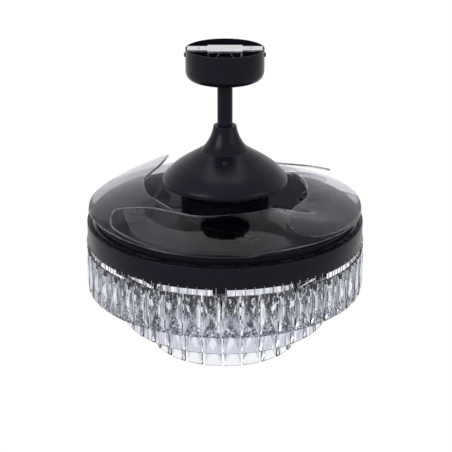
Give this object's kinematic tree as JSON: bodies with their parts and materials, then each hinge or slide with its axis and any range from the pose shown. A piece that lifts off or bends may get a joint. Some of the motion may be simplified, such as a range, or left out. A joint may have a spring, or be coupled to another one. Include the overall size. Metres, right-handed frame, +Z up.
{
  "type": "ceiling fan with retractable blades and crystal light",
  "caption": "Ceiling fan: clear curved blades fold over a round disc above a black drum light hung with stepped tiers of crystal prisms, on a short downrod.",
  "frame": {"origin": "centre of the face of the bracket that meets the ceiling", "axes": "+Z up, out of the bracket's ceiling face; the fan hangs to -Z; -Y is the side that the picture shows"},
  "size_m": [0.4972, 0.4972, 0.5398],
  "materials": {
    "satin_black": "satin black paint",
    "gloss_black": "gloss black",
    "zinc": "zinc plated",
    "black_screw": "blackened steel",
    "hook_wire": "bright plated",
    "blade_clear": "clear smoky moulding",
    "crystal": "clear cut",
    "opal": "opal white",
    "casting": "die cast",
    "iron": "laminated steel",
    "copper": "enamelled copper wire",
    "magnet": "ferrite",
    "bearing_steel": "ground",
    "bronze": "plain",
    "nylon": "plain",
    "black_nylon": "plain",
    "board": "white resist"
  },
  "bodies": {
    "fixed": {"ceiling_bracket": "zinc", "hanger_ball": "black_nylon", "ball_pin": "zinc", "canopy": "satin_black", "canopy_screws": "black_screw", "downrod": "satin_black", "coupling_cover": "satin_black", "yoke": "casting", "yoke_pin": "zinc", "yoke_screws": "zinc", "mount_plate": "zinc", "dome": "satin_black", "dome_screws": "black_screw", "hollow_shaft": "bearing_steel", "stator_core": "iron", "stator_windings": "copper", "light_pan": "zinc", "lock_nuts": "zinc", "led_board": "board", "led_driver": "nylon", "diffuser": "opal", "drum_ring": "satin_black", "ring_screws": "black_screw", "basket_legs": "satin_black", "upper_hoop": "satin_black", "middle_hoop": "satin_black", "lower_hoop": "satin_black", "hooks_upper": "hook_wire", "hooks_middle": "hook_wire", "hooks_lower": "hook_wire", "crystals_upper": "crystal", "crystals_middle": "crystal", "crystals_lower": "crystal"},
    "rotor": {"motor_shell_upper": "gloss_black", "motor_shell_lower": "gloss_black", "magnet_ring": "magnet", "motor_bearings": "bearing_steel", "rotor_disc": "gloss_black", "rotor_screws": "black_screw", "guide_ring": "nylon", "pivot_bushes": "bronze", "return_springs": "zinc"},
    "sync": {"sync_ring": "nylon"},
    "blade_arm_1": {"blade_1": "blade_clear", "blade_hub_1": "zinc", "blade_cap_1": "gloss_black", "blade_pinion_1": "nylon"},
    "blade_arm_2": {"blade_2": "blade_clear", "blade_hub_2": "zinc", "blade_cap_2": "gloss_black", "blade_pinion_2": "nylon"},
    "blade_arm_3": {"blade_3": "blade_clear", "blade_hub_3": "zinc", "blade_cap_3": "gloss_black", "blade_pinion_3": "nylon"},
    "blade_arm_4": {"blade_4": "blade_clear", "blade_hub_4": "zinc", "blade_cap_4": "gloss_black", "blade_pinion_4": "nylon"}
  },
  "joints": [
    {"name": "rotor_spin", "type": "hinge", "parent": "fixed", "child": "rotor", "pos_m": [0, 0, -0.28], "axis": [0, 0, 1], "continuous": true},
    {"name": "blade_1_swing", "type": "hinge", "parent": "rotor", "child": "blade_arm_1", "pos_m": [0.15137, 0.03774, -0.289], "axis": [0, 0, 1], "range_deg": [0, 165], "stiffness_Nm_per_rad": 0.08, "springref_deg": -28.65},
    {"name": "blade_2_swing", "type": "hinge", "parent": "rotor", "child": "blade_arm_2", "pos_m": [-0.03774, 0.15137, -0.289], "axis": [0, 0, 1], "range_deg": [0, 165], "stiffness_Nm_per_rad": 0.08, "springref_deg": -28.65},
    {"name": "blade_3_swing", "type": "hinge", "parent": "rotor", "child": "blade_arm_3", "pos_m": [-0.15137, -0.03774, -0.289], "axis": [0, 0, 1], "range_deg": [0, 165], "stiffness_Nm_per_rad": 0.08, "springref_deg": -28.65},
    {"name": "blade_4_swing", "type": "hinge", "parent": "rotor", "child": "blade_arm_4", "pos_m": [0.03774, -0.15137, -0.289], "axis": [0, 0, 1], "range_deg": [0, 165], "stiffness_Nm_per_rad": 0.08, "springref_deg": -28.65},
    {"name": "sync_turn", "type": "hinge", "parent": "rotor", "child": "sync", "pos_m": [0, 0, -0.3075], "axis": [0, 0, 1], "range_deg": [-36.2, 0]}
  ],
  "couplings": [
    {"joint": "blade_2_swing", "follows": "blade_1_swing", "ratio": 1},
    {"joint": "blade_3_swing", "follows": "blade_1_swing", "ratio": 1},
    {"joint": "blade_4_swing", "follows": "blade_1_swing", "ratio": 1},
    {"joint": "sync_turn", "follows": "blade_1_swing", "ratio": -0.21875}
  ]
}
